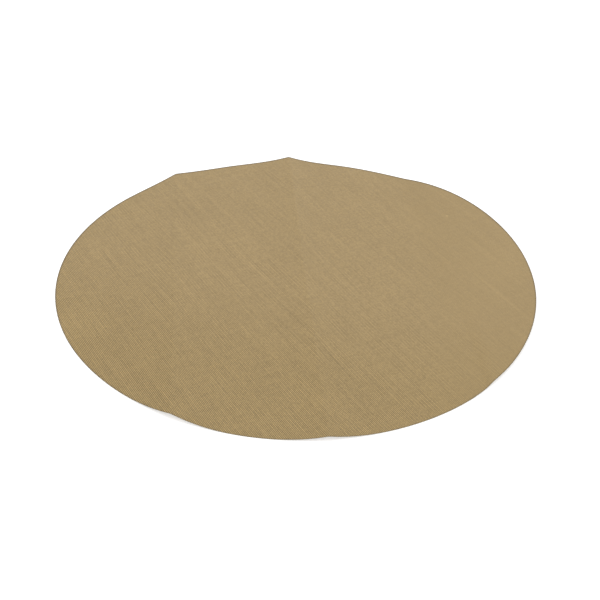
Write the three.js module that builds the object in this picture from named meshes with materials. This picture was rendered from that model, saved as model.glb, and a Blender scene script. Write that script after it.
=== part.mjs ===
// A round baking mat: a thin disc of woven glass cloth with a non-stick coating on both faces.
// It was packed folded up, so three parallel creases cross it from edge to edge, along Y.
// The left and middle creases stand up as low ridges, and the right panel is bent up from the right crease.
// All of these change evenly from the near edge of the mat, at -Y, to the far edge, where they are higher.
// Each layer is divided at the creases into four panels, which hinge there when the mat is folded.
// Millimetres, +Z up. The origin is on the table, under the middle of the mat.
import * as THREE from "three";

// The sheet, as it is cut out flat
const DIAMETER = 260;
const CLOTH_THICKNESS = 0.17;
const UPPER_COATING_THICKNESS = 0.04;
const LOWER_COATING_THICKNESS = 0.04;

// The creases, measured along the sheet: the middle one from the centre of the disc, the others from it
const MIDDLE_CREASE_OFFSET = 5;
const LEFT_FOLD_WIDTH = 72;
const RIGHT_FOLD_WIDTH = 72;
const CREASE_GAP = 0.3;

// The ridge along the left crease, with the lengths of sheet over which it settles back onto the table
const LEFT_RIDGE_NEAR_HEIGHT = 2.25;
const LEFT_RIDGE_FAR_HEIGHT = 3.25;
const LEFT_RIDGE_OUTER_REACH = 31;
const LEFT_RIDGE_INNER_REACH = 36;

// The ridge along the middle crease
const MIDDLE_RIDGE_NEAR_HEIGHT = 1.95;
const MIDDLE_RIDGE_FAR_HEIGHT = 3.9;
const MIDDLE_RIDGE_LEFT_REACH = 36;
const MIDDLE_RIDGE_RIGHT_REACH = 33;

// The right crease, and the length of sheet over which its left side climbs to it from the table
const RIGHT_CREASE_NEAR_HEIGHT = 0.05;
const RIGHT_CREASE_FAR_HEIGHT = 1.05;
const RIGHT_CREASE_REACH = 24;

// The right panel, which rises from its crease at an angle and has drooped back to level at its crest
const RIGHT_PANEL_NEAR_RISE_DEG = 2.3;
const RIGHT_PANEL_FAR_RISE_DEG = 13.3;
const RIGHT_PANEL_CREST = 50;

// The fineness of the model: degrees of the round edge to a facet, and steps of each length integral
const FACET_DEG = 2;
const INTEGRAL_STEPS = 600;

// Colours and finish
const COATING_COLOUR = 0xa9936d;
const COATING_ROUGHNESS = 0.42;
const CLOTH_COLOUR = 0xc9b68c;
const CLOTH_ROUGHNESS = 0.85;

// Places that follow from the sizes above
const RADIUS = DIAMETER / 2;
const MIDDLE_CREASE = MIDDLE_CREASE_OFFSET;
const LEFT_CREASE = MIDDLE_CREASE - LEFT_FOLD_WIDTH;
const RIGHT_CREASE = MIDDLE_CREASE + RIGHT_FOLD_WIDTH;
const FACET = THREE.MathUtils.degToRad(FACET_DEG);
const RIGHT_PANEL_NEAR_SLOPE = Math.sin(THREE.MathUtils.degToRad(RIGHT_PANEL_NEAR_RISE_DEG));
const RIGHT_PANEL_FAR_SLOPE = Math.sin(THREE.MathUtils.degToRad(RIGHT_PANEL_FAR_RISE_DEG));

const LEFT_RIDGE = {
  crease: LEFT_CREASE,
  nearHeight: LEFT_RIDGE_NEAR_HEIGHT,
  farHeight: LEFT_RIDGE_FAR_HEIGHT,
  leftReach: LEFT_RIDGE_OUTER_REACH,
  rightReach: LEFT_RIDGE_INNER_REACH,
};
const MIDDLE_RIDGE = {
  crease: MIDDLE_CREASE,
  nearHeight: MIDDLE_RIDGE_NEAR_HEIGHT,
  farHeight: MIDDLE_RIDGE_FAR_HEIGHT,
  leftReach: MIDDLE_RIDGE_LEFT_REACH,
  rightReach: MIDDLE_RIDGE_RIGHT_REACH,
};
const RIGHT_CLIMB = {
  crease: RIGHT_CREASE,
  nearHeight: RIGHT_CREASE_NEAR_HEIGHT,
  farHeight: RIGHT_CREASE_FAR_HEIGHT,
  leftReach: RIGHT_CREASE_REACH,
};

// A value at a distance y along the creases, which changes evenly from the near edge to the far edge.
function alongCrease(near, far, y) {
  return THREE.MathUtils.mapLinear(y, -RADIUS, RADIUS, near, far);
}

// Height and slope of one ridge, at a distance u across the creases, along the sheet from the disc's centre,
// and y along them. Each side is the curve of a strip that is creased at its top and lies down under its own
// weight.
function ridgeAt(ridge, u, y) {
  const top = alongCrease(ridge.nearHeight, ridge.farHeight, y);
  const onLeft = u < ridge.crease;
  const reach = onLeft ? ridge.leftReach : ridge.rightReach;
  const t = Math.max(0, 1 - Math.abs(u - ridge.crease) / reach);
  const steepness = (top * (12 * t ** 2 - 4 * t ** 3)) / (3 * reach);
  return {
    height: (top * (4 * t ** 3 - t ** 4)) / 3,
    slope: onLeft ? steepness : -steepness,
  };
}

// Height and slope of the climb to the right crease, and of the raised panel beyond it: a parabola that
// leaves the crease at the rise angle and is level at the panel's crest.
function raisedPanelAt(u, y) {
  const past = u - RIGHT_CREASE;
  if (past < 0) {
    return ridgeAt(RIGHT_CLIMB, u, y);
  }
  const lift = alongCrease(RIGHT_CREASE_NEAR_HEIGHT, RIGHT_CREASE_FAR_HEIGHT, y);
  const rise = alongCrease(RIGHT_PANEL_NEAR_SLOPE, RIGHT_PANEL_FAR_SLOPE, y);
  return {
    height: lift + rise * (past - past ** 2 / (2 * RIGHT_PANEL_CREST)),
    slope: rise * (1 - past / RIGHT_PANEL_CREST),
  };
}

// Height and slope of the mat's underside.
function undersideAt(u, y) {
  const forms = [ridgeAt(LEFT_RIDGE, u, y), ridgeAt(MIDDLE_RIDGE, u, y), raisedPanelAt(u, y)];
  return {
    height: forms.reduce((sum, form) => sum + form.height, 0),
    slope: forms.reduce((sum, form) => sum + form.slope, 0),
  };
}

// How far along X the sheet's middle line, at y = 0, reaches from the disc's centre to u.
// A sloping stretch covers less of the table.
function coveredLength(u) {
  const step = u / INTEGRAL_STEPS;
  let covered = 0;
  for (let i = 0; i < INTEGRAL_STEPS; i += 1) {
    const slope = undersideAt((i + 0.5) * step, 0).slope;
    covered += step * Math.sqrt(1 - slope ** 2);
  }
  return covered;
}

// The sheet ends on one facet of the round edge at each side, half a facet's angle from the X axis.
const EDGE = RADIUS * Math.cos(FACET / 2);
const MAT_CENTRE = (coveredLength(-EDGE) + coveredLength(EDGE)) / 2;

// One end of a bend line, on the round edge.
function lineEnd(u, y) {
  return { y, ...undersideAt(u, y) };
}

// The straight lines where a panel bends, from one crease or edge to the next, evenly spaced round the edge.
// Each runs from the near edge to the far edge, square to X.
function bendLines(from, to) {
  const startAngle = Math.acos(from / RADIUS);
  const turn = Math.acos(to / RADIUS) - startAngle;
  const count = Math.ceil(Math.abs(turn) / FACET);
  const lines = [];
  for (let i = 0; i <= count; i += 1) {
    const u = RADIUS * Math.cos(startAngle + (turn * i) / count);
    const halfWidth = Math.sqrt(RADIUS ** 2 - u ** 2);
    lines.push({
      x: coveredLength(u) - MAT_CENTRE,
      near: lineEnd(u, -halfWidth),
      far: lineEnd(u, halfWidth),
    });
  }
  return lines;
}

// The four long faces of a slab, between one ring of four corners and the next: the lower face, the far
// edge, the upper face and the near edge. Each is split in two from its first corner. That splits the lower
// and upper faces the same way, so that a twisted layer lies face to face on the next.
const RING_CORNERS = 4;
const LONG_FACES = [
  [0, 1, 5, 4],
  [1, 2, 6, 5],
  [3, 7, 6, 2],
  [3, 0, 4, 7],
];

// A point over one end of a bend line, at a depth above the underside, measured square to the sheet.
function cornerOver(line, end, depth) {
  return [line.x - depth * end.slope, end.y, end.height + depth * Math.sqrt(1 - end.slope ** 2)];
}

// One layer of one panel: a slab between two depths above the underside.
// Every bend line gives a ring of four corners, and each ring is joined to the next.
function layerGeometry(lines, bottom, top) {
  const corners = [];
  for (const line of lines) {
    corners.push(...cornerOver(line, line.near, bottom));
    corners.push(...cornerOver(line, line.far, bottom));
    corners.push(...cornerOver(line, line.far, top));
    corners.push(...cornerOver(line, line.near, top));
  }

  const faces = [];
  const last = (lines.length - 1) * RING_CORNERS;
  for (let ring = 0; ring < last; ring += RING_CORNERS) {
    for (const [a, b, c, d] of LONG_FACES) {
      faces.push(ring + a, ring + b, ring + c);
      faces.push(ring + a, ring + c, ring + d);
    }
  }
  faces.push(0, 3, 2, 0, 2, 1);
  faces.push(last, last + 1, last + 2, last, last + 2, last + 3);

  const geometry = new THREE.BufferGeometry();
  geometry.setAttribute("position", new THREE.Float32BufferAttribute(corners, 3));
  geometry.setIndex(faces);
  geometry.computeVertexNormals();
  return geometry;
}

// The layers, from the table up
const CLOTH_BOTTOM = LOWER_COATING_THICKNESS;
const CLOTH_TOP = CLOTH_BOTTOM + CLOTH_THICKNESS;
const SHEET_TOP = CLOTH_TOP + UPPER_COATING_THICKNESS;
const coating = new THREE.MeshStandardMaterial({
  color: COATING_COLOUR,
  roughness: COATING_ROUGHNESS,
  metalness: 0,
});
const cloth = new THREE.MeshStandardMaterial({
  color: CLOTH_COLOUR,
  roughness: CLOTH_ROUGHNESS,
  metalness: 0,
});
const LAYERS = [
  { name: "lower_coating", bottom: 0, top: CLOTH_BOTTOM, material: coating },
  { name: "glass_cloth", bottom: CLOTH_BOTTOM, top: CLOTH_TOP, material: cloth },
  { name: "upper_coating", bottom: CLOTH_TOP, top: SHEET_TOP, material: coating },
];

// The panels, from left to right, each half a gap short of its creases
const HALF_GAP = CREASE_GAP / 2;
const PANELS = [
  { name: "left", from: -EDGE, to: LEFT_CREASE - HALF_GAP },
  { name: "left_middle", from: LEFT_CREASE + HALF_GAP, to: MIDDLE_CREASE - HALF_GAP },
  { name: "right_middle", from: MIDDLE_CREASE + HALF_GAP, to: RIGHT_CREASE - HALF_GAP },
  { name: "right", from: RIGHT_CREASE + HALF_GAP, to: EDGE },
];

const mat = new THREE.Group();
for (const panel of PANELS) {
  const panelGroup = new THREE.Group();
  const lines = bendLines(panel.from, panel.to);
  for (const layer of LAYERS) {
    const mesh = new THREE.Mesh(layerGeometry(lines, layer.bottom, layer.top), layer.material);
    mesh.name = `${panel.name}_${layer.name}`;
    panelGroup.add(mesh);
  }
  mat.add(panelGroup);
}

export default mat;
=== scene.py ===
"""A round baking mat of coated glass cloth, lying on a white table with the creases of its packing."""
import math

import bpy
import numpy as np
from mathutils import Matrix, Vector


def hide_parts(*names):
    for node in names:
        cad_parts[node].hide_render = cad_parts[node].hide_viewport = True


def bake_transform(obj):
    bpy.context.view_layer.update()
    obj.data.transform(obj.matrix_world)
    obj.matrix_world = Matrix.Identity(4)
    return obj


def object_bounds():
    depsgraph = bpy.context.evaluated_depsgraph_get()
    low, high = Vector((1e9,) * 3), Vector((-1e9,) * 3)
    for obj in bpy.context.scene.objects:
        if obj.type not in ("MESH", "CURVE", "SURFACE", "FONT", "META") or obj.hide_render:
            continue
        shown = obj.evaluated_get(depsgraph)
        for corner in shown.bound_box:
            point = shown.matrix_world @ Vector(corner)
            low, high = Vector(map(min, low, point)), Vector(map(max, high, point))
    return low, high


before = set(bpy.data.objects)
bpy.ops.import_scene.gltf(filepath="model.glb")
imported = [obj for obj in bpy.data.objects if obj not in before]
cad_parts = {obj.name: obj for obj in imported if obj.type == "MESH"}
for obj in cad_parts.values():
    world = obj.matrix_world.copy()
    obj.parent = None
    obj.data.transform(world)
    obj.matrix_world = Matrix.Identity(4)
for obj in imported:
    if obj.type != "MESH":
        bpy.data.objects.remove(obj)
cad_box = [list(corner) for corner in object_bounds()]

MM = 0.001

# The sheet as it is cut, in metres
RADIUS = (cad_box[1][1] - cad_box[0][1]) / 2
LOWER_COATING = 0.04 * MM
UPPER_COATING = 0.04 * MM
THICKNESS = 0.25 * MM

# The creases, as distances along the sheet from the centre of the disc
LEFT_CREASE = -67 * MM
MIDDLE_CREASE = 5 * MM
RIGHT_CREASE = 77 * MM

# The ridges: crease, heights at the mat's near and far edges, and how far each side takes to settle
LEFT_RIDGE = (LEFT_CREASE, (2.25 * MM, 3.25 * MM), 31 * MM, 36 * MM)
MIDDLE_RIDGE = (MIDDLE_CREASE, (1.95 * MM, 3.9 * MM), 36 * MM, 33 * MM)
CREST_RADIUS = 0.5 * MM

# The right crease: its heights at the near and far edges, and the length over which the sheet climbs to it
RIGHT_LIFT = (0.05 * MM, 1.05 * MM)
CLIMB_REACH = 24 * MM

# The right panel: its slopes at the crease, near and far, and where it has drooped back to level
RIGHT_SLOPE = (math.sin(math.radians(2.3)), math.sin(math.radians(13.3)))
CREST_DISTANCE = 50 * MM

# The bulge at the right panel's near edge: height where v is -R, start along the sheet, and start to crest
BULGE_HEIGHT = 1.2 * MM
BULGE_START = 84.6 * MM
BULGE_CREST = 6.3 * MM

# The cloth's slight cockle: height, and each wave's lengths across and along the creases in mm, and phase
COCKLE_HEIGHT = 0.12 * MM
COCKLE_WAVES = ((83, 61, 0.4), (-57, 92, 2.1), (41, -118, 4.0), (130, 47, 5.2))

# Where the mat is divided into pieces that each bend over one crease
LEFT_SEAM = -31 * MM
RIGHT_SEAM = 41 * MM

# The fineness of the surface
COLUMN_ANGLE = math.radians(0.9)
TIP_ANGLE = COLUMN_ANGLE / 4
CREASE_COLUMNS = 31
CREASE_SPREAD = 3.5 * MM
COLUMN_GAP = 0.5 * MM
ROWS = 131
LENGTH_STEPS = 20000
SLOPE_STEP = 0.02 * MM
SHARP_ANGLE = math.radians(40)

# From the weave to the rim, places and lengths are in millimetres on the flat sheet

# The weave: the warp's angle to the creases, and the width of each yarn
WARP_ANGLE = math.radians(25.8)
WARP_PITCH = 0.812
WEFT_PITCH = 0.85

# The fineness of all the noise
NOISE_DETAIL = 2.0

# How the yarns wander: the scale of the noise, and how far they go
WARP_WANDER_SCALE = 0.02
WARP_WANDER = 1.4
WEFT_WANDER_SCALE = 0.03
WEFT_WANDER = 1.0

# A yarn's height: its level, and how much it rises or dips where it goes over or under another
YARN_LEVEL = 0.7
YARN_RISE = 0.3

# Single yarns: the step through the noise from one to the next, and how fast the tone changes along one
WARP_STEP = 3.7
WARP_CHANGE = 0.025
WEFT_STEP = 4.3
WEFT_CHANGE = 0.03

# Bands of yarns: how fast the tone changes across the warp and along it
WARP_BAND = (0.25, 0.008)
WEFT_BAND = (0.012, 0.3)

# Light yarns and the dark gaps between them, the gaps being painted shade, and a faint painted sheen where
# the warp lies on top
RELIEF_LEVEL = -0.46
WARP_RELIEF = 0.50
WEFT_RELIEF = 0.22
OVER_RELIEF = 0.03

# How clearly the single yarns show: everywhere, at the clearest side, and in patches
CLEAR_LEVEL = 0.35
CLEAR_SIDE = 2.0
CLEAR_PATCHES = 1.8
CLEAR_PATCH_SCALE = 0.07
CLEAR_LEAST = 0.1

# Single yarns show towards this direction: distances from the centre where they start and are clearest
CLEAR_TOWARDS = (-0.6, -0.8)
YARNS_START = 10
YARNS_END = 90

# Further in, only pairs of yarns show, in patches
PAIRS_START = -35
PAIRS_END = 15
PAIR_LEVEL = 0.05
PAIR_PATCHES = 0.22
PAIR_PATCH_SCALE = 0.06

# Bands along the warp where the weave shows more clearly: place across the warp, and half width
CLEAR_BANDS = (
    (-12.6, 12),
    (114.7, 10),
)
CLEAR_BAND_GAIN = 0.4

# The uneven tones of the yarns, of their crossings and of bands of yarns
WARP_UNEVEN = 0.34
WEFT_UNEVEN = 0.16
CROSSING_UNEVEN = 0.19
WARP_BAND_TONE = 0.07
WEFT_BAND_TONE = 0.02

# The side where more coating evens out the yarns: its direction, and where it starts and is thickest
SMOOTH_TOWARDS = (1.0, 0.0)
SMOOTH_START = 50
SMOOTH_END = 90
SMOOTHING = -0.5

# Painted shade: the sheet darkens and turns a little more saturated towards the near side, standing in for
# the far side's stronger sheen. Its direction, and where it starts and is darkest
NEAR_SHADE_TOWARDS = (-0.3, -0.95)
NEAR_SHADE_START = 0
NEAR_SHADE_END = 95
NEAR_SHADE_TONE = -0.06

# Thick and thin warp yarns that show as streaks: place across the warp, ends along it, and lightness
SLUB_WIDTH = 1.1
SLUB_FADE = 9.0
SLUB_LEVEL = 0.7
SLUB_PATCHES = 2.4
SLUB_PATCH_SCALE = 0.12
SLUBS = (
    (-15.6, -8, 130, 0.08),
    (-19.9, -89, -13, -0.07),
    (-7.1, -18, 27, -0.07),
    (-70.4, -110, 107, -0.07),
    (-67.7, -104, 87, 0.06),
    (-84.2, 31, 75, -0.06),
    (-34.3, -94, 86, 0.04),
    (30.9, 91, 125, 0.07),
    (40.4, 92, 118, -0.07),
    (86.2, -88, -38, 0.06),
    (106.7, -50, 1, -0.08),
    (120.6, -7, 32, 0.07),
)

# A pale knot in a yarn: its place on the flat sheet, its radius, and how light it is
KNOT = (94.2, 55.8)
KNOT_SIZE = 1.1
KNOT_TONE = 0.45

# Lighter and darker round patches: place on the flat sheet, radius, and how light they are
CLOUDS = (
    (-117, -38, 24, 0.08),
    (119, 8, 30, 0.05),
    (-56, 72, 22, -0.05),
    (0, -35, 18, -0.03),
)
CLOUDINESS = 0.05
CLOUDINESS_SCALE = 0.03

# Painted shade: a dark rim along the cut that stands in for the shadow at the sheet's edge: its width, and
# the shift of its circle that makes it wider at the far edge
RIM_WIDTH = 1.2
RIM_SHIFT = 0.4
RIM_SHADE_TONE = -0.60

# The coating's surface: the depth of the weave in metres, how much higher thick yarns are, and its gloss
WEAVE_DEPTH = 0.03 * MM
THICK_YARN_HEIGHT = 0.7
COATING_ROUGHNESS = 0.46
ROUGHNESS_PATCHES = 0.12
ROUGHNESS_SCALE = 0.15
COATING_IOR = 1.38

# Colours, as linear light
TAN = (0.382, 0.268, 0.118)
# The tan at the near side, where the painted shade is full
NEAR_SHADE_TAN = (0.380, 0.265, 0.109)
GLASS_YARN = (0.60, 0.50, 0.33)
TABLE_WHITE = (0.8, 0.8, 0.8)
WHITE = (1.0, 1.0, 1.0)

# The cut edge: how dark its film is, and how pale its yarn ends are, from one to the next
FILM_TONE = 0.62
YARN_END_LEVEL = 0.6
YARN_END_CHANGE = 0.4
CUT_ROUGHNESS = 0.7

# The table top, in metres, and the light of its own that makes it white
TABLE_HALF_SIZE = 6.0
TABLE_DROP = 0.1 * MM
TABLE_ROUGHNESS = 0.9
TABLE_GLOW = 0.55

# Light: the share that comes evenly from all round, and a large lamp, in metres and watts
ROOM_LIGHT = 0.84
WINDOW_PLACE = (0.22, 0.30, 0.95)
WINDOW_SIZE = 0.8
WINDOW_POWER = 1.7

# The camera, at the photograph's angle
CAMERA_PLACE = (-46.8 * MM, -500.7 * MM, 346.4 * MM)
CAMERA_AIM = (0.45 * MM, -20.9 * MM, 0.0)
CAMERA_ROLL = math.radians(1.94)
CAMERA_LENS = 66.9
CAMERA_SENSOR = 36.0
CAMERA_CLIP_START = 0.01


def along_crease(ends, v):
    """A value that changes evenly from the near edge to the far edge: near + (far - near)(v + R) / 2R."""
    near, far = ends
    return near + (far - near) * (v + RADIUS) / (2 * RADIUS)


def settling(t):
    """The curve of a strip that is bent up at one end and lies down at the other: (4 t^3 - t^4) / 3."""
    return (4 * t**3 - t**4) / 3


def ridge(u, v, crease, heights, left_reach, right_reach):
    """Height of a ridge: the settling curve of t, which falls from 1 at the crease to 0 at the reach.

    The distance from the crease is rounded off at the crest, as sqrt(d^2 + r^2) - r.
    """
    distance = np.hypot(u - crease, CREST_RADIUS) - CREST_RADIUS
    t = np.clip(1 - distance / np.where(u < crease, left_reach, right_reach), 0, 1)
    return along_crease(heights, v) * settling(t)


def raised_panel(u, v):
    """Height of the climb to the right crease, a settling curve, and of the panel beyond it.

    At a distance p past the crease the panel is higher by slope (p - p^2 / 2c), which is level at p = c.
    """
    past = u - RIGHT_CREASE
    climb = along_crease(RIGHT_LIFT, v) * settling(np.clip(1 + past / CLIMB_REACH, 0, 1))
    past = np.clip(past, 0, None)
    return climb + along_crease(RIGHT_SLOPE, v) * (past - past**2 / (2 * CREST_DISTANCE))


def near_bulge(u, v):
    """Height of the bulge: p^2 exp(2 - 2p), which is 1 at its crest, where p is 1.

    It fades away evenly along the crease, from the near edge to the middle of the mat.
    """
    p = np.clip(u - BULGE_START, 0, None) / BULGE_CREST
    return BULGE_HEIGHT * p**2 * np.exp(2 - 2 * p) * np.clip(-v / RADIUS, 0, 1)


def underside(u, v):
    """Height of the lower face at u across the creases and v along them: the sum of the sheet's forms."""
    return ridge(u, v, *LEFT_RIDGE) + ridge(u, v, *MIDDLE_RIDGE) + raised_panel(u, v) + near_bulge(u, v)


def covered(u):
    """How far along X the sheet reaches: the running sum of sqrt(1 - slope^2), centred between its two ends.

    The slope is that on the sheet's middle line, where v is 0.
    """
    fine = np.linspace(-RADIUS, RADIUS, LENGTH_STEPS + 1)
    step = fine[1] - fine[0]
    slope = np.diff(underside(fine, 0.0)) / step
    reach = np.concatenate([[0.0], np.cumsum(np.sqrt(1 - slope**2)) * step])
    return np.interp(u, fine, reach - reach[-1] / 2)


def cockle(u, v):
    """Slight waves of the cloth: the mean of a few long sine waves, raised so that none dips below zero."""
    waves = [np.sin(2 * np.pi * (u / (a * MM) + v / (b * MM)) + phase) for a, b, phase in COCKLE_WAVES]
    return COCKLE_HEIGHT * (1 + sum(waves) / len(waves)) / 2


def columns(left, right, crease):
    """Places along the sheet: even angles round the rim, with close columns at the crease."""
    turn = np.arccos(np.array([left, right]) / RADIUS)
    count = int(math.ceil((turn[0] - turn[1]) / COLUMN_ANGLE)) + 1
    rim = RADIUS * np.cos(np.linspace(turn[0], turn[1], count))
    close = crease + CREASE_SPREAD * np.linspace(-1, 1, CREASE_COLUMNS)
    inside = rim[np.abs(rim - crease) > CREASE_SPREAD + COLUMN_GAP]
    return np.sort(np.concatenate([inside, close]))


def strip(a, b):
    """Faces between two lines of vertices, a quad for each step along them."""
    return np.stack([a[:-1], a[1:], b[1:], b[:-1]], axis=-1).reshape(-1, 4)


def sheet_mesh(name, left, right, crease):
    """A closed slab of the sheet between two places along it.

    A point (u, v) of the flat disc has v as a share t of the half width sqrt(R^2 - u^2). On the lower face
    it goes to (covered(u), v, underside(u, v) + cockle(u, v)), and on the upper face to that place moved by
    the thickness along (-slope, 0, sqrt(1 - slope^2)), square to the sheet.
    """
    u, t = np.meshgrid(columns(left, right, crease), np.linspace(-1, 1, ROWS), indexing="ij")
    v = t * np.sqrt(RADIUS**2 - u**2)
    slope = (underside(u + SLOPE_STEP, v) - underside(u - SLOPE_STEP, v)) / (2 * SLOPE_STEP)
    square = np.stack([-slope, np.zeros_like(u), np.sqrt(1 - slope**2)], axis=-1)
    low = np.stack([covered(u), v, underside(u, v) + cockle(u, v)], axis=-1)
    places = np.concatenate([(low + THICKNESS * square).reshape(-1, 3), low.reshape(-1, 3)])
    depth = np.concatenate([np.full(u.size, THICKNESS), np.zeros(u.size)])
    flat = np.stack([np.tile(u.ravel(), 2), np.tile(v.ravel(), 2), depth], axis=-1)

    over = np.arange(u.size).reshape(u.shape)
    under = over + u.size
    top = np.stack([over[:-1, :-1], over[1:, :-1], over[1:, 1:], over[:-1, 1:]], axis=-1).reshape(-1, 4)
    bottom = top[:, ::-1] + u.size
    walls = [
        strip(under[:, 0], over[:, 0]),
        strip(over[:, -1], under[:, -1]),
        strip(over[0], under[0]),
        strip(under[-1], over[-1]),
    ]
    faces = np.concatenate([top, bottom, *walls])
    material = np.zeros(len(faces), np.int32)
    material[len(top) + len(bottom):] = 1

    mesh = bpy.data.meshes.new(name)
    mesh.from_pydata(places, [], faces)
    attribute = mesh.attributes.new("flat_place", "FLOAT_VECTOR", "POINT")
    attribute.data.foreach_set("vector", flat.astype(np.float32).ravel())
    mesh.polygons.foreach_set("material_index", material)
    mesh.shade_smooth()
    mesh.set_sharp_from_angle(angle=SHARP_ANGLE)
    mesh.validate()
    return mesh


def add_object(name, mesh, *materials):
    """A new object at the origin, with its place in its mesh."""
    piece = bpy.data.objects.new(name, mesh)
    bpy.context.scene.collection.objects.link(piece)
    for material in materials:
        mesh.materials.append(material)
    return piece


class Nodes:
    """Short calls for a material's nodes: those that make nodes return the output to use."""

    def __init__(self, name):
        self.material = bpy.data.materials.new(name)
        self.material.use_nodes = True
        self.tree = self.material.node_tree
        self.shader = self.tree.nodes["Principled BSDF"]

    def put(self, socket, value):
        """Links an output to the socket, or sets the socket to a plain value."""
        if isinstance(value, bpy.types.NodeSocket):
            self.tree.links.new(value, socket)
        else:
            socket.default_value = value

    def math(self, operation, a, b=0.0, c=0.0):
        node = self.tree.nodes.new("ShaderNodeMath")
        node.operation = operation
        for socket, value in zip(node.inputs, (a, b, c)):
            self.put(socket, value)
        return node.outputs[0]

    def plus(self, total, value, weight):
        """The total with a weighted value added to it."""
        return self.math("MULTIPLY_ADD", value, weight, total)

    def offset(self, value, place):
        """How far the value lies from a place, on either side."""
        return self.math("ABSOLUTE", self.math("SUBTRACT", value, place))

    def noise(self, place, scale):
        """Smooth noise, about 0."""
        node = self.tree.nodes.new("ShaderNodeTexNoise")
        self.put(node.inputs["Vector"], place)
        node.inputs["Scale"].default_value = scale
        node.inputs["Detail"].default_value = NOISE_DETAIL
        return self.math("SUBTRACT", node.outputs["Fac"], 0.5)

    def random(self, number):
        """A random tone for each numbered place, even between -0.5 and 0.5."""
        node = self.tree.nodes.new("ShaderNodeTexWhiteNoise")
        self.put(node.inputs["Vector"], number)
        return self.math("SUBTRACT", node.outputs["Value"], 0.5)

    def vector(self, x, y, z=0.0):
        node = self.tree.nodes.new("ShaderNodeCombineXYZ")
        for socket, value in zip(node.inputs, (x, y, z)):
            self.put(socket, value)
        return node.outputs[0]

    def parts(self, place):
        node = self.tree.nodes.new("ShaderNodeSeparateXYZ")
        self.put(node.inputs[0], place)
        return node.outputs

    def scaled(self, vector, scale):
        """A vector or a colour, times a number."""
        node = self.tree.nodes.new("ShaderNodeVectorMath")
        node.operation = "SCALE"
        self.put(node.inputs[0], vector)
        self.put(node.inputs["Scale"], scale)
        return node.outputs[0]

    def flat_place(self):
        """Where a point lies on the flat sheet, in millimetres."""
        node = self.tree.nodes.new("ShaderNodeAttribute")
        node.attribute_name = "flat_place"
        return self.scaled(node.outputs["Vector"], 1 / MM)

    def turned(self, place, angle):
        """The place, turned about the centre of the disc."""
        node = self.tree.nodes.new("ShaderNodeMapping")
        self.put(node.inputs["Vector"], place)
        node.inputs["Rotation"].default_value = (0, 0, angle)
        return node.outputs[0]

    def mixed(self, colour, other, share):
        """A colour with a share of another in it."""
        node = self.tree.nodes.new("ShaderNodeMix")
        node.data_type = "RGBA"
        self.put(node.inputs["Factor"], share)
        node.inputs["A"].default_value = (*colour, 1.0)
        node.inputs["B"].default_value = (*other, 1.0)
        return node.outputs["Result"]

    def ramp(self, value, low, high):
        """Goes smoothly from 0 to 1 as the value goes from low to high."""
        node = self.tree.nodes.new("ShaderNodeMapRange")
        node.interpolation_type = "SMOOTHSTEP"
        for name, given in (("Value", value), ("From Min", low), ("From Max", high)):
            self.put(node.inputs[name], given)
        return node.outputs[0]

    def reach(self, place, direction):
        """How far the place lies from the centre in a direction."""
        node = self.tree.nodes.new("ShaderNodeVectorMath")
        node.operation = "DOT_PRODUCT"
        self.put(node.inputs[0], place)
        node.inputs[1].default_value = (*direction, 0.0)
        return node.outputs["Value"]

    def distance(self, place, point):
        node = self.tree.nodes.new("ShaderNodeVectorMath")
        node.operation = "DISTANCE"
        self.put(node.inputs[0], place)
        node.inputs[1].default_value = point
        return node.outputs["Value"]

    def bump(self, height, distance):
        node = self.tree.nodes.new("ShaderNodeBump")
        node.inputs["Strength"].default_value = 1.0
        node.inputs["Distance"].default_value = distance
        self.put(node.inputs["Height"], height)
        return node.outputs[0]

    def set(self, **values):
        """Sets the shader's sockets, which are named with _ for each space."""
        for name, value in values.items():
            self.put(self.shader.inputs[name.replace("_", " ")], value)


class Weave:
    """The plain weave under the coating, as sockets of a material.

    Distances are taken across the warp and along it. Every yarn is an arch, the size of a sine of one half
    wave to its width, and the product of the two sines says which yarn lies on top, as on a chessboard.
    """

    def __init__(self, nodes):
        self.place = nodes.flat_place()
        across, along, self.depth = nodes.parts(nodes.turned(self.place, -WARP_ANGLE))
        self.across = nodes.plus(across, nodes.noise(self.place, WARP_WANDER_SCALE), WARP_WANDER)
        self.along = nodes.plus(along, nodes.noise(self.place, WEFT_WANDER_SCALE), WEFT_WANDER)

        warp = nodes.math("DIVIDE", self.across, WARP_PITCH)
        weft = nodes.math("DIVIDE", self.along, WEFT_PITCH)
        self.warp_wave = nodes.math("SINE", nodes.math("MULTIPLY", warp, math.pi))
        weft_wave = nodes.math("SINE", nodes.math("MULTIPLY", weft, math.pi))
        self.over = nodes.math("MULTIPLY", self.warp_wave, weft_wave)
        self.warp_arch = nodes.math("ABSOLUTE", self.warp_wave)
        self.weft_arch = nodes.math("ABSOLUTE", weft_wave)
        warp_height = nodes.math("MULTIPLY", self.warp_arch, nodes.plus(YARN_LEVEL, self.over, YARN_RISE))
        weft_height = nodes.math("MULTIPLY", self.weft_arch, nodes.plus(YARN_LEVEL, self.over, -YARN_RISE))
        self.height = nodes.math("MAXIMUM", warp_height, weft_height)

        warp_number = nodes.math("FLOOR", warp)
        weft_number = nodes.math("FLOOR", weft)
        self.crossing = nodes.random(nodes.vector(warp_number, weft_number))
        self.warp_yarn = self.tone(nodes, (warp_number, WARP_STEP), (self.along, WARP_CHANGE))
        self.weft_yarn = self.tone(nodes, (self.across, WEFT_CHANGE), (weft_number, WEFT_STEP))
        self.warp_band = self.tone(nodes, (self.across, WARP_BAND[0]), (self.along, WARP_BAND[1]))
        self.weft_band = self.tone(nodes, (self.across, WEFT_BAND[0]), (self.along, WEFT_BAND[1]))

    def tone(self, nodes, first, second):
        """Noise at a place that is given by two values, each times its scale."""
        x, y = [nodes.math("MULTIPLY", value, scale) for value, scale in (first, second)]
        return nodes.noise(nodes.vector(x, y), 1.0)


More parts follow.
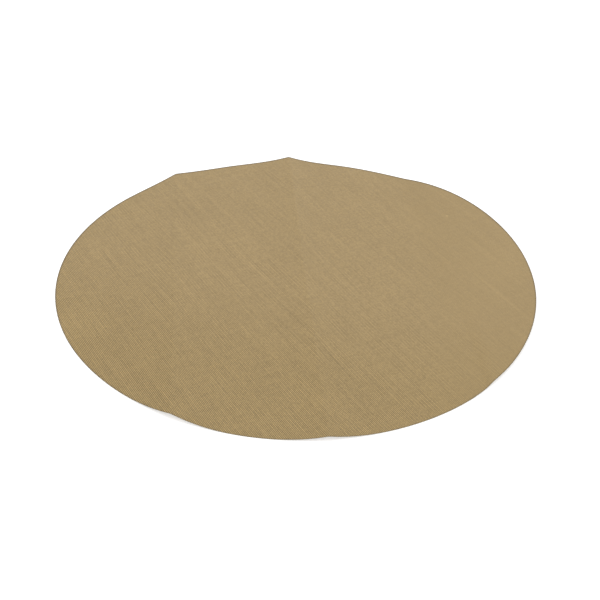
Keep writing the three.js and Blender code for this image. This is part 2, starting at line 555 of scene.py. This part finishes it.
def yarn_and_gap_shade_tone(nodes, weave, clear):
    """Light yarns and dark gaps of painted shade, which show more or less clearly from place to place."""
    relief = nodes.plus(RELIEF_LEVEL, weave.warp_arch, WARP_RELIEF)
    relief = nodes.plus(relief, weave.weft_arch, WEFT_RELIEF)
    relief = nodes.plus(relief, weave.over, OVER_RELIEF)
    clearness = nodes.plus(CLEAR_LEVEL, nodes.ramp(clear, YARNS_START, YARNS_END), CLEAR_SIDE)
    clearness = nodes.plus(clearness, nodes.noise(weave.place, CLEAR_PATCH_SCALE), CLEAR_PATCHES)
    for place, half_width in CLEAR_BANDS:
        band = nodes.ramp(nodes.offset(weave.across, place), half_width, 0.0)
        clearness = nodes.plus(clearness, band, CLEAR_BAND_GAIN)
    return nodes.math("MULTIPLY", relief, nodes.math("MAXIMUM", clearness, CLEAR_LEAST))


def uneven_tone(nodes, weave, clear):
    """The random tones of single yarns and crossings, and the pairs of yarns, less on the smooth side."""
    patchy = nodes.plus(PAIR_LEVEL, nodes.noise(weave.place, PAIR_PATCH_SCALE), PAIR_PATCHES)
    pairs = nodes.math("MULTIPLY", nodes.ramp(clear, PAIRS_START, PAIRS_END), patchy)
    uneven = nodes.math("MULTIPLY", weave.warp_wave, pairs)
    uneven = nodes.plus(uneven, weave.warp_yarn, WARP_UNEVEN)
    uneven = nodes.plus(uneven, weave.weft_yarn, WEFT_UNEVEN)
    uneven = nodes.plus(uneven, weave.crossing, CROSSING_UNEVEN)
    smooth = nodes.ramp(nodes.reach(weave.place, SMOOTH_TOWARDS), SMOOTH_START, SMOOTH_END)
    return nodes.math("MULTIPLY", uneven, nodes.plus(1.0, smooth, SMOOTHING))


def slub_tone(nodes, weave):
    """Light and dark streaks: each has a smooth profile across its yarn and fades out at its two ends."""
    total = 0.0
    for place, start, end, lightness in SLUBS:
        streak = nodes.ramp(nodes.offset(weave.across, place), SLUB_WIDTH, 0.0)
        streak = nodes.math("MULTIPLY", streak, nodes.ramp(weave.along, start - SLUB_FADE, start + SLUB_FADE))
        streak = nodes.math("MULTIPLY", streak, nodes.ramp(weave.along, end + SLUB_FADE, end - SLUB_FADE))
        total = nodes.plus(total, streak, lightness)
    patchy = nodes.plus(SLUB_LEVEL, nodes.noise(weave.place, SLUB_PATCH_SCALE), SLUB_PATCHES)
    return nodes.math("MULTIPLY", total, patchy)


def spot_tone(nodes, weave):
    """The cloudy patches and the pale knot, each strongest in its middle, and a faint cloudiness."""
    total = nodes.math("MULTIPLY", nodes.noise(weave.place, CLOUDINESS_SCALE), CLOUDINESS)
    for u, v, radius, lightness in CLOUDS:
        cloud = nodes.ramp(nodes.distance(weave.place, (u, v, 0.0)), radius, 0.0)
        total = nodes.plus(total, cloud, lightness)
    knot = nodes.ramp(nodes.distance(weave.place, (*KNOT, THICKNESS / MM)), KNOT_SIZE, 0.0)
    return nodes.plus(total, knot, KNOT_TONE)


def coating_material():
    """Tan non-stick film: satin, with the weave, its uneven yarns and a faint cloudiness showing through, and
    painted shade in the gaps between yarns, towards the near side and along the rim.
    """
    nodes = Nodes("coating")
    weave = Weave(nodes)
    clear = nodes.reach(weave.place, CLEAR_TOWARDS)
    # Painted shade: darker and more saturated towards the near side
    near_shade = nodes.ramp(nodes.reach(weave.place, NEAR_SHADE_TOWARDS), NEAR_SHADE_START, NEAR_SHADE_END)
    # Painted shade: the dark rim along the cut, wider at the far edge
    outwards = nodes.distance(weave.place, (0.0, -RIM_SHIFT, 0.0))
    rim = nodes.ramp(outwards, RADIUS / MM - RIM_WIDTH, RADIUS / MM + RIM_SHIFT / 2)

    tone = nodes.math("ADD", yarn_and_gap_shade_tone(nodes, weave, clear), 1.0)
    tone = nodes.plus(tone, near_shade, NEAR_SHADE_TONE)
    tone = nodes.plus(tone, weave.warp_band, WARP_BAND_TONE)
    tone = nodes.plus(tone, weave.weft_band, WEFT_BAND_TONE)
    tone = nodes.plus(tone, rim, RIM_SHADE_TONE)
    for change in (uneven_tone(nodes, weave, clear), slub_tone(nodes, weave), spot_tone(nodes, weave)):
        tone = nodes.math("ADD", tone, change)

    roughness = nodes.plus(COATING_ROUGHNESS, nodes.noise(weave.place, ROUGHNESS_SCALE), ROUGHNESS_PATCHES)
    height = nodes.plus(weave.height, weave.warp_yarn, THICK_YARN_HEIGHT)
    nodes.set(
        Base_Color=nodes.scaled(nodes.mixed(TAN, NEAR_SHADE_TAN, near_shade), tone),
        Roughness=roughness,
        Normal=nodes.bump(height, WEAVE_DEPTH),
        IOR=COATING_IOR,
    )
    return nodes.material


def cut_edge_material():
    """The cut edge: pale yarn ends of the glass cloth between the two coatings."""
    nodes = Nodes("cut_edge")
    weave = Weave(nodes)
    cloth_middle = (LOWER_COATING + THICKNESS - UPPER_COATING) / 2 / MM
    cloth_half = (THICKNESS - LOWER_COATING - UPPER_COATING) / 2 / MM
    in_cloth = nodes.math("COMPARE", weave.depth, cloth_middle, cloth_half)
    ends = nodes.math("MULTIPLY", in_cloth, nodes.plus(YARN_END_LEVEL, weave.over, YARN_END_CHANGE))
    film = [FILM_TONE * channel for channel in TAN]
    nodes.set(Base_Color=nodes.mixed(film, GLASS_YARN, ends), Roughness=CUT_ROUGHNESS)
    return nodes.material


def make_mat():
    """The mat in three pieces, each of which bends over one crease and meets the next on a flat stretch."""
    coating = coating_material()
    cut_edge = cut_edge_material()
    tip = RADIUS * math.cos(TIP_ANGLE)
    plan = [
        ("mat_left", -tip, LEFT_SEAM, LEFT_CREASE, "left_panel", "left_middle_panel", ("left",)),
        ("mat_middle", LEFT_SEAM, RIGHT_SEAM, MIDDLE_CREASE, "left_middle_panel", "right_middle_panel",
         ("left_middle", "right_middle")),
        ("mat_right", RIGHT_SEAM, tip, RIGHT_CREASE, "right_middle_panel", "right_panel", ("right",)),
    ]
    layers = ("lower_coating", "glass_cloth", "upper_coating")
    for name, left, right, crease, left_body, right_body, panels in plan:
        piece = add_object(name, sheet_mesh(name, left, right, crease), coating, cut_edge)
        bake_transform(piece)
        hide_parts(*[f"{panel}_{layer}" for panel in panels for layer in layers])


def make_table():
    """A white table top. What the camera sees of it is white, and the mat's shadow stays."""
    size = TABLE_HALF_SIZE
    corners = [(x, y, -TABLE_DROP) for x, y in ((-size, -size), (size, -size), (size, size), (-size, size))]
    mesh = bpy.data.meshes.new("table_top")
    mesh.from_pydata(corners, [], [(0, 1, 2, 3)])
    nodes = Nodes("table_white")
    path = nodes.tree.nodes.new("ShaderNodeLightPath")
    seen = nodes.math("MAXIMUM", path.outputs["Is Camera Ray"], path.outputs["Is Glossy Ray"])
    seen = nodes.math("MAXIMUM", seen, path.outputs["Is Transmission Ray"])
    nodes.set(
        Base_Color=(*TABLE_WHITE, 1.0),
        Roughness=TABLE_ROUGHNESS,
        Specular_IOR_Level=0.0,
        Emission_Color=(*WHITE, 1.0),
        Emission_Strength=nodes.math("MULTIPLY", seen, TABLE_GLOW),
    )
    table = add_object("table_top", mesh, nodes.material)


def make_light():
    """Even white light from all round, and a weak soft lamp from the right and behind."""
    world = bpy.data.worlds.new("white_room")
    bpy.context.scene.world = world
    world.use_nodes = True
    tree = world.node_tree
    background = tree.nodes["Background"]
    path = tree.nodes.new("ShaderNodeLightPath")
    seen = path.outputs["Is Camera Ray"]
    for other in ("Is Glossy Ray", "Is Transmission Ray"):
        either = tree.nodes.new("ShaderNodeMath")
        either.operation = "MAXIMUM"
        tree.links.new(seen, either.inputs[0])
        tree.links.new(path.outputs[other], either.inputs[1])
        seen = either.outputs[0]
    strength = tree.nodes.new("ShaderNodeMix")
    tree.links.new(seen, strength.inputs["Factor"])
    strength.inputs["A"].default_value = ROOM_LIGHT
    strength.inputs["B"].default_value = 1.0
    tree.links.new(strength.outputs["Result"], background.inputs["Strength"])
    background.inputs["Color"].default_value = (*WHITE, 1.0)

    lamp = bpy.data.lights.new("window", "AREA")
    lamp.size = WINDOW_SIZE
    lamp.energy = WINDOW_POWER
    holder = bpy.data.objects.new("window", lamp)
    bpy.context.scene.collection.objects.link(holder)
    holder.location = WINDOW_PLACE
    holder.rotation_euler = (-Vector(WINDOW_PLACE)).to_track_quat("-Z", "Y").to_euler()


def make_camera():
    """The camera at the photograph's angle, rolled a little about its own axis."""
    camera = bpy.data.cameras.new("camera")
    camera.lens = CAMERA_LENS
    camera.sensor_width = CAMERA_SENSOR
    camera.clip_start = CAMERA_CLIP_START
    holder = bpy.data.objects.new("camera", camera)
    bpy.context.scene.collection.objects.link(holder)
    place = Vector(CAMERA_PLACE)
    look = (Vector(CAMERA_AIM) - place).to_track_quat("-Z", "Y").to_matrix().to_4x4()
    holder.matrix_world = Matrix.Translation(place) @ look @ Matrix.Rotation(CAMERA_ROLL, 4, "Z")
    bpy.context.scene.camera = holder


bpy.context.scene.view_settings.view_transform = "Standard"
make_camera()
make_light()
make_table()
make_mat()
